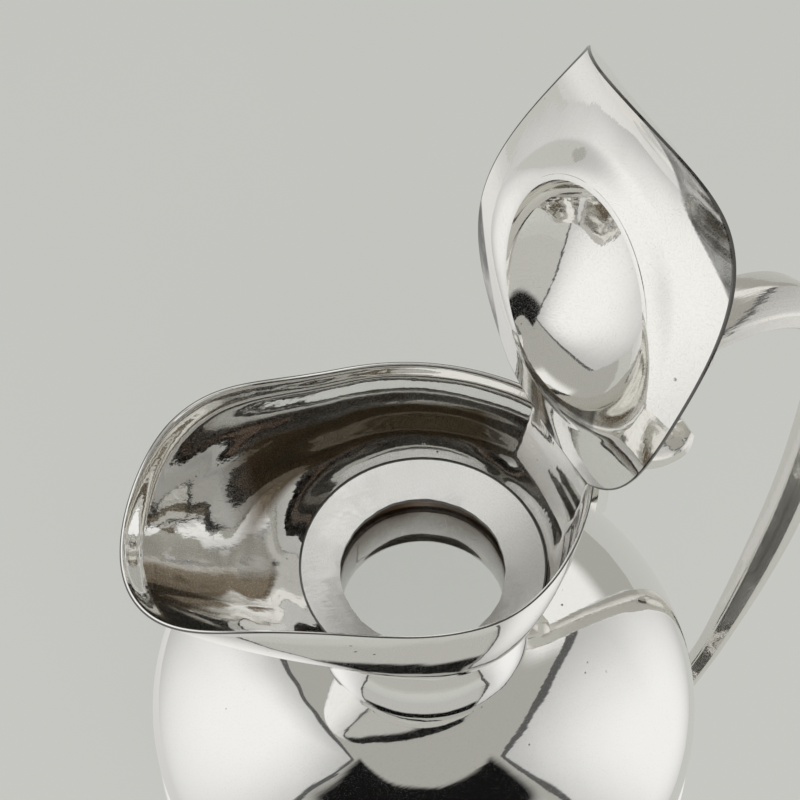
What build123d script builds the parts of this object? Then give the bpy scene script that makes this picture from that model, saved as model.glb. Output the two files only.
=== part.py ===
from build123d import *
from math import acos, asin, cos, degrees, exp, pi, sin, sqrt
import os

os.makedirs("parts", exist_ok=True)

# A claret jug: a clear glass body held in silver-plated mounts, with a wide helmet-shaped pouring cup,
# a domed lid on a barrel hinge and a six-sided strap handle. The spout points to -X and the handle to +X.
# The origin is on the body's axis at the rest face, and the lid stands open, leaning on its stop.

# Sheet and bedding
sheet = 1.0             # silver-plated sheet of the mounts
cup_sheet = 1.1         # sheet of the pouring cup
lid_sheet = 1.0         # sheet of the lid
bed = 0.7               # plaster between glass and silver
seat = 0.05             # clearance between shells that are bedded together
glass_wall = 3.0        # glass thickness

# Body line
ring_height = 215.0     # plane of the funnel ring above the rest face
body_radius = 63.2      # widest radius of the body
equator_drop = 60.4     # from the ring plane down to the widest point
shoulder_rise = 35.9    # vertical half axis of the shoulder's ellipse
belly_end = 19.6        # height at which the belly's ellipse would close, inside the foot
neck_radius = 18.0      # outside of the silver neck
neck_foot_drop = 17.0   # from the ring plane down to the foot of the straight neck
neck_flare = 9.5        # height of the flare under the cup
join_radius = 23.0      # where the neck's sweep meets the shoulder
shoulder_edge_drop = 14.0   # from the widest point down to the shoulder mount's edge
border_radius = 1.3     # half-round wires on the mounts' edges

# Pouring cup
cup_base_radius = 26.2  # cup's foot, standing on the flared neck
cup_half_width = 31.5   # half of the mouth across
cup_centre = -3.0       # x of the mouth's widest place
cup_front = 54.5        # from the widest place to the spout's tip
cup_back = 39.0         # half axis of the rear curve, before it is cut straight
cup_rear = 30.8         # x of the straight rear edge
rim_low = 26.3          # rim above the ring plane at the back and sides
rim_rise = 17.7         # how far the rim climbs over the spout
rim_crest = -38.5       # x of the rim's highest place
rim_spread_back = 26.0  # how gently it falls towards the hinge
rim_spread_front = 21.7 # how gently it falls towards the spout's tip
spout_bulge = 0.25      # fullness of the wall under the spout
side_bulge = 0.8        # fullness of the wall at the sides and back

# Funnel ring
ring_radius = 25.0      # outer edge
ring_hole = 16.9        # hole
ring_sink = 3.4         # depth of the funnel
ring_sheet = 1.0        # its thickness
glass_bore = 24.0       # ground opening of the glass, hidden under the shoulder

# Lid
lid_open = 86.07        # angle between the closed lid and the lid as it stands
lid_gap = 0.4           # air between the rim and the closed lid
lid_half_width = 31.2   # half width of the lid
lid_centre = -9.0       # x of its widest place
lid_front = 48.7        # from there to the tip
lid_back = 46.5         # half axis of its rear curve, before it is cut straight
lid_power = 0.72        # how pointed its outline is
lid_sink = 3.21         # how far the sheet sinks between its edges at the widest place
dome_centre = -8.8      # x of the dome's middle
dome_radius = 19.0      # inner radius of the dome at its foot
dome_height = 12.0      # inner height of the dome
dome_tilt = 19.8        # the dome leans forward with the rim
dome_rise = 30.8        # height of the dome's foot above the ring plane

# Hinge
pin_x = 30.3            # hinge axis
pin_rise = 30.8         # hinge axis above the ring plane
pin_radius = 1.1
pin_clearance = 0.05    # running clearance around the pin
knuckle_radius = 2.6
knuckle_count = 5
hinge_length = 29.2
knuckle_gap = 0.2       # between neighbouring knuckles
leaf = 1.2              # thickness of the hinge leaves
lid_leaf_length = 13.0  # how far the lid's leaf reaches over the lid
lid_leaf_width = 20.0
lid_leaf_corner = 3.0
cup_leaf_drop = 8.0     # how far the cup's leaf reaches down the wall
swing = 0.3             # clearance where the knuckles turn

# Handle, as centre line points in the plane y = 0: x, height, width, thickness
root_inset = 20.8       # from the body's widest radius in to the handle's root
# Upper part: x from the handle's root, height over the ring plane
handle_upper = [
    (0.0, 26.0, 11.5, 7.6),
    (3.2, 37.0, 12.0, 8.2),
    (11.1, 44.3, 12.0, 8.6),
    (22.6, 46.3, 12.0, 8.6),
    (33.6, 43.0, 12.0, 8.6),
    (43.1, 33.5, 11.8, 8.2),
    (49.6, 20.0, 11.5, 7.8),
    (54.6, 0.0, 11.0, 7.2),
    (56.2, -25.0, 10.6, 6.8),
    (55.6, -50.0, 10.2, 6.4),
    (53.1, -75.0, 9.4, 5.6),
    (49.3, -100.0, 8.0, 4.4),
    (44.8, -122.0, 6.8, 3.6),
]
# Lower part: x and height from the handle's end, which stands off the base cup below its edge
end_standoff = 5.3
end_drop = 8.0
handle_lower = [
    (31.0, 18.0, 6.8, 3.8),
    (19.0, 5.5, 7.4, 4.2),
    (6.5, 0.6, 8.2, 4.8),
    (0.0, 0.0, 8.6, 5.0),
]
# The curled end under the arch, from the handle's root to its nose
handle_curl = [
    (0.0, 26.0, 11.5, 7.6),
    (0.8, 18.5, 11.5, 7.2),
    (4.8, 12.3, 11.6, 7.0),
    (10.6, 10.2, 11.8, 7.0),
    (15.2, 11.0, 10.4, 6.0),
    (17.2, 12.2, 7.0, 3.6),
]
strap_side = 0.47       # share of the strap's thickness that its flat sides take
bead_out = 16.6         # bead under the arch, from the handle's root
bead_rise = 34.6        # its middle above the ring plane
bead_radius = 3.0
bead_stem = 1.4         # radius of its stem
bracket_half_width = 5.0
bracket_low = 4.5       # bracket's underside at the cup, above the ring plane
bracket_high = 15.5     # its top at the cup
bracket_depth = 4.0     # how far its blank reaches into the cup's foot
bracket_end_low = 13.0  # underside of its end at the curl
bracket_end_high = 20.0
bracket_out_low = 4.2   # its end's lower corner, from the handle's root
bracket_out_high = 2.1
socket_half_width = 7.0
socket_half_height = 9.0
socket_reach = 8.0      # how far the socket reaches in from the handle's end

# Base
base_edge_height = 64.0     # upper edge of the base cup
base_floor = 32.0           # underside of the base cup
glass_floor = 8.0           # thickness of the glass bottom
stem_radius = 13.0
stem_height = 23.0
foot_radius = 37.5
foot_rim = 5.0              # height of the foot's plain rim
foot_sheet = 1.2
foot_wire_radius = 1.8

# Heights worked out from the sizes above
equator = ring_height - equator_drop
belly_drop = equator - belly_end
shoulder_edge = equator - shoulder_edge_drop
neck_foot = ring_height - neck_foot_drop
flare_foot = ring_height - neck_flare
pin_height = ring_height + pin_rise
glass_inset = sheet + bed


def body_radius_at(height, inset=0.0):
    """Radius of the body line below the equator, moved in by an inset."""
    return (body_radius - inset) * sqrt(1 - ((equator - height) / (belly_drop - inset)) ** 2)


# Handle's centre line in place
root_x = body_radius - root_inset
end_height = base_edge_height - end_drop
end_x = body_radius_at(end_height) + end_standoff
handle_line = [(root_x + x, ring_height + rise, width, depth) for x, rise, width, depth in handle_upper]
handle_line += [(end_x + x, end_height + rise, width, depth) for x, rise, width, depth in handle_lower]
curl_line = [(root_x + x, ring_height + rise, width, depth) for x, rise, width, depth in handle_curl]
bead_x = root_x + bead_out


def ellipse_line(level, width, rise, start, end):
    """Smooth curve along an ellipse around the axis at a level, between two angles in radians."""
    angles = [start + (end - start) * step / 16 for step in range(17)]
    slopes = [(-width * sin(angle), rise * cos(angle)) for angle in (start, end)]
    Spline(*[(width * cos(angle), level + rise * sin(angle)) for angle in angles], tangents=slopes)


def join_point(inset):
    """Where the collar's sweep meets the shoulder's ellipse."""
    angle = acos(join_radius / body_radius)
    width = body_radius - inset
    return (width * cos(angle), equator + (shoulder_rise - inset) * sin(angle))


def collar_line(inset):
    """Body line from the cup's foot down to the shoulder: flare, straight neck and sweep."""
    neck = neck_radius - inset
    angle = acos(join_radius / body_radius)
    join_slope = ((body_radius - inset) * sin(angle), -(shoulder_rise - inset) * cos(angle))
    Spline((cup_base_radius - inset, ring_height), (neck, flare_foot), tangents=[(-0.33, -1), (0, -1)])
    Line((neck, flare_foot), (neck, neck_foot))
    Spline((neck, neck_foot), join_point(inset), tangents=[(0, -1), join_slope])


def shoulder_line(inset):
    """Shoulder's ellipse from the equator up to the glass opening."""
    width = body_radius - inset
    ellipse_line(equator, width, shoulder_rise - inset, 0, acos(glass_bore / width))


def bore_point(inset):
    """Where the shoulder's ellipse meets the glass opening."""
    rise = (shoulder_rise - inset) * sqrt(1 - (glass_bore / (body_radius - inset)) ** 2)
    return (glass_bore, equator + rise)


def belly_line(inset, high, low):
    """Arc of the belly's ellipse between two heights."""
    drop = belly_drop - inset
    start = -asin((equator - low) / drop)
    end = -asin((equator - high) / drop)
    ellipse_line(equator, body_radius - inset, drop, start, end)


# Glass body, ground open under the silver neck and closed by a thick floor
with BuildPart() as glass_body:
    with BuildSketch(Plane.XZ):
        with BuildLine():
            glass_foot = base_floor + sheet + bed
            shoulder_line(glass_inset)
            belly_line(glass_inset, equator, glass_foot)
            inner = glass_inset + glass_wall
            inner_foot = glass_foot + glass_floor
            shoulder_line(inner)
            belly_line(inner, equator, inner_foot)
            Line(bore_point(glass_inset), bore_point(inner))
            Line((body_radius_at(glass_foot, glass_inset), glass_foot), (0, glass_foot))
            Line((0, glass_foot), (0, inner_foot))
            Line((0, inner_foot), (body_radius_at(inner_foot, inner), inner_foot))
        make_face()
    revolve(axis=Axis.Z)

# Plaster bed under the shoulder mount
with BuildPart() as shoulder_plaster:
    with BuildSketch(Plane.XZ):
        with BuildLine():
            outside = sheet + seat
            inside = glass_inset - seat
            bed_low = shoulder_edge + border_radius
            shoulder_line(outside)
            belly_line(outside, equator, bed_low)
            shoulder_line(inside)
            belly_line(inside, equator, bed_low)
            Line(bore_point(outside), bore_point(inside))
            Line((body_radius_at(bed_low, outside), bed_low), (body_radius_at(bed_low, inside), bed_low))
        make_face()
    revolve(axis=Axis.Z)

# Neck collar between the shoulder and the cup
with BuildPart() as neck_collar:
    with BuildSketch(Plane.XZ):
        with BuildLine():
            collar_line(0.0)
            collar_line(sheet)
            Line((cup_base_radius, ring_height), (cup_base_radius - sheet, ring_height))
            Line(join_point(0.0), join_point(sheet))
        make_face()
    revolve(axis=Axis.Z)

# Silver shoulder, bedded on the glass
with BuildPart() as shoulder_mount:
    with BuildSketch(Plane.XZ):
        with BuildLine():
            join = acos(join_radius / body_radius)
            ellipse_line(equator, body_radius, shoulder_rise, 0, join)
            belly_line(0.0, equator, shoulder_edge)
            ellipse_line(equator, body_radius - sheet, shoulder_rise - sheet, 0, join)
            belly_line(sheet, equator, shoulder_edge)
            Line(join_point(0.0), join_point(sheet))
            edge_outside = (body_radius_at(shoulder_edge), shoulder_edge)
            Line(edge_outside, (body_radius_at(shoulder_edge, sheet), shoulder_edge))
        make_face()
    revolve(axis=Axis.Z)

# Half-round wire around the shoulder's lower edge
with BuildPart() as shoulder_border:
    with BuildSketch(Plane.XZ):
        with Locations((body_radius_at(shoulder_edge) + seat, shoulder_edge)):
            Circle(border_radius)
        with BuildLine(mode=Mode.PRIVATE) as wire_inside:
            low = shoulder_edge - 2 * border_radius
            high = shoulder_edge + 2 * border_radius
            belly_line(-seat, high, low)
            Line((body_radius_at(low, -seat), low), (0, low))
            Line((0, low), (0, high))
            Line((0, high), (body_radius_at(high, -seat), high))
        make_face(wire_inside.edges(), mode=Mode.SUBTRACT)
    revolve(axis=Axis.Z)

# Funnel ring at the foot of the cup, over the narrow neck
with BuildPart() as neck_ring:
    with BuildSketch(Plane.XZ):
        with BuildLine():
            Polyline(
                (ring_radius, ring_height),
                (ring_hole, ring_height - ring_sink),
                (ring_hole, ring_height - ring_sink - ring_sheet),
                (ring_radius - ring_sheet / 2, ring_height - ring_sheet),
                close=True,
            )
        make_face()
    revolve(axis=Axis.Z)


def rim_height(x):
    """Height of the cup's rim over the ring plane: a low rim with a bell-shaped rise over the spout."""
    spread = rim_spread_back if x > rim_crest else rim_spread_front
    return rim_low + rim_rise * exp(-(((x - rim_crest) / spread) ** 2))


def rim_plan(turn, inset):
    """Rim point at a turn from 0 at the spout's tip to 1 at the rear edge's corner."""
    if turn < 0.5:
        angle = turn * pi
        x = cup_centre - (cup_front - inset) * cos(angle)
        y = (cup_half_width - inset) * sin(angle)
    else:
        corner = asin((cup_rear - cup_centre) / cup_back)
        angle = (turn - 0.5) * 2 * corner
        x = cup_centre + (cup_back - inset) * sin(angle)
        y = (cup_half_width - inset) * cos(angle) ** 1.5
    return x, y


def cup_point(turn, height, inset):
    """Point of the cup's wall at a height: a full curve from the round foot to the rim."""
    x, y = rim_plan(turn, inset)
    base = pi * (1 - turn * 0.86)
    foot = cup_base_radius - inset
    share = height / rim_height(x)
    bulge = spout_bulge + (side_bulge - spout_bulge) * min(1.0, 2 * turn)
    reach = share + bulge * share * (1 - share) if share < 1 else 1 + (1 - bulge) * (share - 1)
    return (foot * cos(base) * (1 - reach) + x * reach, foot * sin(base) * (1 - reach) + y * reach)


def cup_section(height, inset):
    """Closed outline of the cup's wall at a height: half an outline, mirrored, with a straight rear."""
    turns = [0.0, 0.1, 0.2, 0.3, 0.4, 0.5, 0.62, 0.74, 0.86, 1.0]
    half = [cup_point(turn, height, inset) for turn in turns]
    with BuildSketch(Plane.XY.offset(ring_height + height)) as section:
        with BuildLine():
            mirrored = [(x, -y) for x, y in half]
            Spline(*reversed(mirrored), *half[1:])
            ThreePointArc(half[-1], (cup_rear_at(height, inset), 0), mirrored[-1])
        make_face()
    return section.sketch


def cup_rear_at(height, inset):
    """How far back the wall reaches on the jug's middle plane: round at the foot, straight at the rim."""
    share = min(1.0, height / rim_low)
    reach = share + side_bulge * share * (1 - share)
    return (cup_base_radius - inset) * (1 - reach) + (cup_rear - inset + seat) * reach


section_heights = [0.0, 7.0, 15.0, 24.0, 34.0, 46.0]

# Solid inside the cup's outer wall, which also trims what is soldered to it
with BuildPart() as cup_outside:
    loft([cup_section(height, 0.0) for height in section_heights])
with BuildPart() as cup_inside:
    loft([cup_section(height, cup_sheet) for height in section_heights])

# Pouring cup with its wide spout, trimmed along the rim
with BuildPart() as cup:
    add(cup_outside.part)
    add(cup_inside.part, mode=Mode.SUBTRACT)
    with BuildSketch(Plane.XZ) as above_rim:
        with BuildLine():
            front = cup_centre - 1.35 * cup_front
            back = 1.3 * cup_rear
            steps = [front + (back - front) * step / 16 for step in range(17)]
            trim = [(x, ring_height + rim_height(x)) for x in steps]
            Spline(*trim)
            top = ring_height + 1.2 * section_heights[-1]
            Polyline(trim[-1], (back, top), (front, top), trim[0])
        make_face()
    extrude(amount=2 * cup_half_width, both=True, mode=Mode.SUBTRACT)


def lid_width(x):
    """Half width of the lid's outline."""
    length = lid_front if x < lid_centre else lid_back
    share = min(1.0, abs(x - lid_centre) / length)
    return lid_half_width * (1 - share ** 2) ** lid_power


def lid_slab(lift, thickness):
    """Cross sections of a slab that follows the rim's height and sinks between the lid's edges."""
    reach = 1.1 * lid_half_width
    sections = []
    shares = [-1.05, -0.924, -0.8, -0.7, -0.595, -0.493, -0.37]
    shares += [-0.226, -0.062, 0.103, 0.308, 0.513, 0.678, 0.842]
    for x in [lid_centre + lid_front * share for share in shares]:
        edge = ring_height + rim_height(x) + lid_gap + lift
        middle = edge - lid_sink * (lid_width(x) / lid_half_width) ** 2
        side = middle + lid_sink * (reach / lid_half_width) ** 2
        with BuildSketch(Plane(origin=(x, 0, 0), x_dir=(0, 1, 0), z_dir=(1, 0, 0))) as section:
            with BuildLine():
                ThreePointArc((-reach, side), (0, middle), (reach, side))
                Line((reach, side), (reach, side + thickness))
                high = side + thickness
                ThreePointArc((reach, high), (0, middle + thickness), (-reach, high))
                Line((-reach, side + thickness), (-reach, side))
            make_face()
        sections.append(section.sketch)
    return sections


# The lid's rear edge stays clear of the knuckles
lid_rear = pin_x - knuckle_radius - swing
hinge_axis = Axis((pin_x, 0, pin_height), (0, 1, 0))


def dome(extra):
    """Half ellipsoid standing on the lid, grown by an extra thickness."""
    with BuildPart() as half:
        with BuildSketch(Plane.XZ):
            with BuildLine():
                ellipse_line(0, dome_radius + extra, dome_height + extra, 0, pi / 2)
                Line((0, dome_height + extra), (0, -dome_height))
                Line((0, -dome_height), (dome_radius + extra, -dome_height))
                Line((dome_radius + extra, -dome_height), (dome_radius + extra, 0))
            make_face()
        revolve(axis=Axis.Z)
    return Pos(dome_centre, 0, ring_height + dome_rise) * Rotation(0, dome_tilt, 0) * half.part


dome_outside = dome(lid_sheet)
dome_inside = dome(0.0)

# Space over the lid's under surface, which keeps the dome's skirt from hanging below the sheet
with BuildPart() as over_lid:
    loft(lid_slab(0.0, 2 * dome_height + rim_rise))

# Closed lid: a dished sheet with a raised dome
with BuildPart() as closed_lid:
    loft(lid_slab(0.0, lid_sheet))
    with BuildSketch(Plane.XY.offset(ring_height)):
        with BuildLine():
            shares = [-0.977, -0.924, -0.842, -0.719, -0.554, -0.37, -0.185, 0.0, 0.226, 0.431, 0.596]
            stations = [lid_centre + lid_front * share for share in shares] + [lid_rear]
            half = [(x, lid_width(x)) for x in stations]
            tip = (lid_centre - lid_front, 0)
            mirrored = [(x, -y) for x, y in half]
            Spline(*reversed(mirrored), tip, *half)
            Line(half[-1], mirrored[-1])
        make_face()
    extrude(amount=3 * rim_low, mode=Mode.INTERSECT)
    add(dome_outside.intersect(over_lid.part))
    add(dome_inside, mode=Mode.SUBTRACT)

with BuildPart() as lid:
    add(closed_lid.part.rotate(hinge_axis, lid_open))

# Knuckles share one barrel: those with an even number belong to the cup, the others to the lid
knuckle_length = (hinge_length - (knuckle_count - 1) * knuckle_gap) / knuckle_count
knuckle_step = knuckle_length + knuckle_gap


def knuckle_planes(first):
    """Planes at the start of every second knuckle."""
    starts = [-hinge_length / 2 + knuckle_step * number for number in range(first, knuckle_count, 2)]
    return [Plane(origin=(pin_x, start, pin_height), x_dir=(1, 0, 0), z_dir=(0, 1, 0)) for start in starts]


# Hinge leaf on the cup's rear wall, with the knuckles that hold the pin
with BuildPart() as cup_hinge:
    leaf_top = pin_height - knuckle_radius - swing
    leaf_low = ring_height + rim_low - cup_leaf_drop
    with BuildSketch(Plane.XZ.offset(-hinge_length / 2)):
        with Locations((cup_rear, (leaf_top + leaf_low) / 2)):
            Rectangle(2 * leaf, leaf_top - leaf_low)
    extrude(amount=hinge_length)
    with BuildSketch(*knuckle_planes(0)):
        Circle(knuckle_radius)
        with Locations((cup_rear + leaf / 2 - pin_x, knuckle_radius)):
            Rectangle(leaf, 2 * knuckle_radius)
    extrude(amount=knuckle_length)
    with BuildSketch(Plane(origin=(pin_x, -hinge_length, pin_height), x_dir=(1, 0, 0), z_dir=(0, 1, 0))):
        Circle(pin_radius + pin_clearance)
    extrude(amount=2 * hinge_length, mode=Mode.SUBTRACT)
    add(cup_outside.part, mode=Mode.SUBTRACT)

# Hinge leaf on top of the lid, with the knuckles between those of the cup
with BuildPart() as closed_lid_hinge:
    loft(lid_slab(lid_sheet, leaf))
    with BuildSketch(Plane.XY.offset(ring_height)):
        with Locations((lid_rear - lid_leaf_length / 2, 0)):
            RectangleRounded(lid_leaf_length, lid_leaf_width, lid_leaf_corner)
        with Locations((lid_rear - lid_leaf_length / 4, 0)):
            Rectangle(lid_leaf_length / 2, lid_leaf_width)
    extrude(amount=3 * rim_low, mode=Mode.INTERSECT)
    with BuildSketch(*knuckle_planes(1)):
        Circle(knuckle_radius)
        leaf_under = pin_height - (ring_height + rim_height(lid_rear) + lid_gap + lid_sheet)
        with Locations(((lid_rear - pin_x) / 2 - leaf / 2, (leaf_under + knuckle_radius * 0.4) / 2)):
            Rectangle(pin_x - lid_rear + leaf, leaf_under - knuckle_radius * 0.4)
    extrude(amount=knuckle_length)
    with BuildSketch(Plane(origin=(pin_x, -hinge_length, pin_height), x_dir=(1, 0, 0), z_dir=(0, 1, 0))):
        Circle(pin_radius + pin_clearance)
    extrude(amount=2 * hinge_length, mode=Mode.SUBTRACT)
    add(closed_lid.part, mode=Mode.SUBTRACT)

with BuildPart() as lid_hinge:
    add(closed_lid_hinge.part.rotate(hinge_axis, lid_open))

# Hinge pin, filed flush with the outer knuckles
with BuildPart() as hinge_pin:
    pin_start = (pin_x, -hinge_length / 2, pin_height)
    with BuildSketch(Plane(origin=pin_start, x_dir=(1, 0, 0), z_dir=(0, 1, 0))):
        Circle(pin_radius)
    extrude(amount=hinge_length)
    chamfer(hinge_pin.edges().filter_by(GeomType.CIRCLE), pin_radius / 4)


def strap(line, start, end):
    """Six-sided sections along a centre line, square to its run and to its given end directions."""
    sections = []
    with BuildLine(Plane.XZ) as centre:
        Spline(*[(x, height) for x, height, width, depth in line])
    edge = centre.edges()[0]
    for x, height, width, depth in line:
        point = Vector(x, 0, height)
        along = edge.tangent_at(edge.param_at_point(point))
        if (x, height) == line[0][:2]:
            along = start
        if (x, height) == line[-1][:2]:
            along = end
        flat = depth * strap_side / 2
        with BuildSketch(Plane(origin=point, x_dir=(0, 1, 0), z_dir=along)) as section:
            Polygon(
                (0, depth / 2),
                (-width / 2, flat),
                (-width / 2, -flat),
                (0, -depth / 2),
                (width / 2, -flat),
                (width / 2, flat),
                align=None,
            )
        sections.append(section.sketch)
    return sections


# Handle strap
with BuildPart() as handle:
    loft(strap(handle_line, (0, 0, 1), (-1, 0, 0)))

# Its curled end
with BuildPart() as handle_scroll:
    loft(strap(curl_line, (0, 0, -1), (1, 0, 0.6)))

# Bead that hangs under the arch
with BuildPart() as handle_bead:
    with BuildSketch(Plane.XZ):
        with BuildLine():
            bead_height = ring_height + bead_rise
            stem_top = bead_height + 3 * bead_radius
            stem_angle = degrees(acos(bead_stem / bead_radius))
            CenterArc((bead_x, bead_height), bead_radius, start_angle=-90, arc_size=90 + stem_angle)
            neck_point = (bead_x + bead_stem, bead_height + sqrt(bead_radius ** 2 - bead_stem ** 2))
            Line(neck_point, (bead_x + bead_stem, stem_top))
            Line((bead_x + bead_stem, stem_top), (bead_x, stem_top))
            Line((bead_x, stem_top), (bead_x, bead_height - bead_radius))
        make_face()
    revolve(axis=Axis((bead_x, 0, 0), (0, 0, 1)))
    add(handle.part, mode=Mode.SUBTRACT)

# Bracket between the cup's wall and the root of the handle
with BuildPart() as handle_bracket:
    with BuildSketch(Plane.XZ):
        with BuildLine():
            Polyline(
                (cup_base_radius - bracket_depth, ring_height + bracket_low),
                (root_x + bracket_out_low, ring_height + bracket_end_low),
                (root_x + bracket_out_high, ring_height + bracket_end_high),
                (cup_rear - bracket_depth, ring_height + bracket_high),
                close=True,
            )
        make_face()
    extrude(amount=bracket_half_width, both=True)
    add(cup_outside.part, mode=Mode.SUBTRACT)
    add(handle_scroll.part, mode=Mode.SUBTRACT)

# Silver cup under the glass
with BuildPart() as base_cup:
    with BuildSketch(Plane.XZ):
        with BuildLine():
            floor = base_floor + sheet
            belly_line(0.0, base_edge_height, base_floor)
            belly_line(sheet, base_edge_height, floor)
            edge_outside = (body_radius_at(base_edge_height), base_edge_height)
            Line(edge_outside, (body_radius_at(base_edge_height, sheet), base_edge_height))
            Line((body_radius_at(base_floor), base_floor), (0, base_floor))
            Line((0, base_floor), (0, floor))
            Line((0, floor), (body_radius_at(floor, sheet), floor))
        make_face()
    revolve(axis=Axis.Z)

# Plaster bed in the base cup
with BuildPart() as base_plaster:
    with BuildSketch(Plane.XZ):
        with BuildLine():
            low = base_floor + sheet + seat
            high = base_floor + sheet + bed - seat
            top = base_edge_height - border_radius
            belly_line(outside, top, low)
            belly_line(inside, top, high)
            Line((body_radius_at(top, outside), top), (body_radius_at(top, inside), top))
            Line((body_radius_at(low, outside), low), (0, low))
            Line((0, low), (0, high))
            Line((0, high), (body_radius_at(high, inside), high))
        make_face()
    revolve(axis=Axis.Z)

# Half-round wire around the base cup's upper edge
with BuildPart() as base_border:
    with BuildSketch(Plane.XZ):
        with Locations((body_radius_at(base_edge_height) + seat, base_edge_height)):
            Circle(border_radius)
        with BuildLine(mode=Mode.PRIVATE) as cup_inside_wire:
            low = base_edge_height - 2 * border_radius
            high = base_edge_height + 2 * border_radius
            belly_line(-seat, high, low)
            Line((body_radius_at(low, -seat), low), (0, low))
            Line((0, low), (0, high))
            Line((0, high), (body_radius_at(high, -seat), high))
        make_face(cup_inside_wire.edges(), mode=Mode.SUBTRACT)
    revolve(axis=Axis.Z)

# Socket that joins the handle's lower end to the base cup
with BuildPart() as handle_socket:
    end_width, end_depth = handle_lower[-1][2:]
    with BuildSketch(Plane(origin=(end_x, 0, end_height), x_dir=(0, 1, 0), z_dir=(-1, 0, 0))):
        Ellipse(end_width / 2 + sheet, end_depth / 2 + sheet)
    socket_back = (end_x - socket_reach, 0, end_height)
    with BuildSketch(Plane(origin=socket_back, x_dir=(0, 1, 0), z_dir=(-1, 0, 0))):
        Ellipse(socket_half_width, socket_half_height)
    loft()
    with BuildSketch(Plane.XZ) as body_core:
        with BuildLine():
            core_top = end_height + 2 * socket_half_height
            belly_line(-seat, core_top, base_floor)
            Line((body_radius_at(base_floor, -seat), base_floor), (0, base_floor))
            Line((0, base_floor), (0, core_top))
            Line((0, core_top), (body_radius_at(core_top, -seat), core_top))
        make_face()
    revolve(axis=Axis.Z, mode=Mode.SUBTRACT)

# Spreading foot, hollow underneath
with BuildPart() as foot:
    with BuildSketch(Plane.XZ):
        with BuildLine():
            cap = body_radius_at(base_floor) - sheet
            Line((0, base_floor), (cap, base_floor))
            Spline((cap, base_floor), (stem_radius, stem_height), tangents=[(-1, -0.4), (0, -1)])
            Spline((stem_radius, stem_height), (foot_radius, foot_rim), tangents=[(0, -1), (1, -0.25)])
            Line((foot_radius, foot_rim), (foot_radius, seat))
            Line((foot_radius, seat), (foot_radius - foot_sheet, seat))
            Line((foot_radius - foot_sheet, seat), (foot_radius - foot_sheet, foot_rim - foot_sheet))
            inner_stem = stem_radius - foot_sheet
            Spline(
                (foot_radius - foot_sheet, foot_rim - foot_sheet),
                (inner_stem, stem_height - 2 * foot_sheet),
                tangents=[(-1, 0.25), (0, 1)],
            )
            Line((inner_stem, stem_height - 2 * foot_sheet), (0, stem_height))
            Line((0, stem_height), (0, base_floor))
        make_face()
    revolve(axis=Axis.Z)

# Wire soldered around the foot, on which the jug stands
with BuildPart() as foot_wire:
    with BuildSketch(Plane.XZ):
        with Locations((foot_radius + seat, foot_wire_radius)):
            Circle(foot_wire_radius)
        with Locations((foot_radius + seat - foot_wire_radius, foot_wire_radius)):
            Rectangle(2 * foot_wire_radius, 2 * foot_wire_radius, mode=Mode.SUBTRACT)
        with Locations((foot_radius + seat + foot_wire_radius / 4, foot_wire_radius / 4)):
            Rectangle(foot_wire_radius / 2, foot_wire_radius / 2)
    revolve(axis=Axis.Z)

pieces = {
    "glass_body": glass_body,
    "shoulder_plaster": shoulder_plaster,
    "shoulder_mount": shoulder_mount,
    "neck_collar": neck_collar,
    "shoulder_border": shoulder_border,
    "neck_ring": neck_ring,
    "cup": cup,
    "cup_hinge": cup_hinge,
    "lid_hinge": lid_hinge,
    "hinge_pin": hinge_pin,
    "lid": lid,
    "handle_bracket": handle_bracket,
    "handle": handle,
    "handle_scroll": handle_scroll,
    "handle_bead": handle_bead,
    "handle_socket": handle_socket,
    "base_cup": base_cup,
    "base_border": base_border,
    "base_plaster": base_plaster,
    "foot": foot,
    "foot_wire": foot_wire,
}
for name, piece in pieces.items():
    piece.part.label = name
    export_step(piece.part, f"parts/{name}.step")
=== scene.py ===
import math

import bpy
import numpy as np
from mathutils import Matrix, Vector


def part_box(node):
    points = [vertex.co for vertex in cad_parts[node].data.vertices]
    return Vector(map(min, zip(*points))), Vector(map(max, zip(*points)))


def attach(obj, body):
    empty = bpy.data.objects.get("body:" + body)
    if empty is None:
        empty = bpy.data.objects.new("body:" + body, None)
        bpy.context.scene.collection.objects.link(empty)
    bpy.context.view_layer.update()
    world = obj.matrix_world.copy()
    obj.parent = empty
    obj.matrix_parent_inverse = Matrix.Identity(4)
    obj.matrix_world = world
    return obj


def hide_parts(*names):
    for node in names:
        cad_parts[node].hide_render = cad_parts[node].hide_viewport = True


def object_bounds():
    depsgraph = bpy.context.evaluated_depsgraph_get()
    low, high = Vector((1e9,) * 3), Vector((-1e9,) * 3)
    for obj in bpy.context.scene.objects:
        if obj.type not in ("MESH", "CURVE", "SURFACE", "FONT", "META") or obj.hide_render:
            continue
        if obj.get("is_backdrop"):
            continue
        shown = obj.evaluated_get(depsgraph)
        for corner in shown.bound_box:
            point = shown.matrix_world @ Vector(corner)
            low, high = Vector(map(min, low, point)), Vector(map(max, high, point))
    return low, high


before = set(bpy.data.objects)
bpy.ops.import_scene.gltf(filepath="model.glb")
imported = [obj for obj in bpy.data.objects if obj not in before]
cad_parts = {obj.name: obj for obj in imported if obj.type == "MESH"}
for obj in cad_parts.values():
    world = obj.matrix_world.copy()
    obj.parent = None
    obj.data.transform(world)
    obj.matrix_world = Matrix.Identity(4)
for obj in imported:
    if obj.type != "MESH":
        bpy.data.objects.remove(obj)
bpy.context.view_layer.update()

# Glass body
# Blown clear glass, ground open under the silver neck and closed below by a thick floor.
# Its outline is the jug's own body line, moved in by the silver sheet and its plaster bed.
MM = 0.001
ring_height = 215.0 * MM
equator = ring_height - 60.4 * MM
body_radius = 63.2 * MM
shoulder_rise = 35.9 * MM
belly_drop = 135.0 * MM
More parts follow.
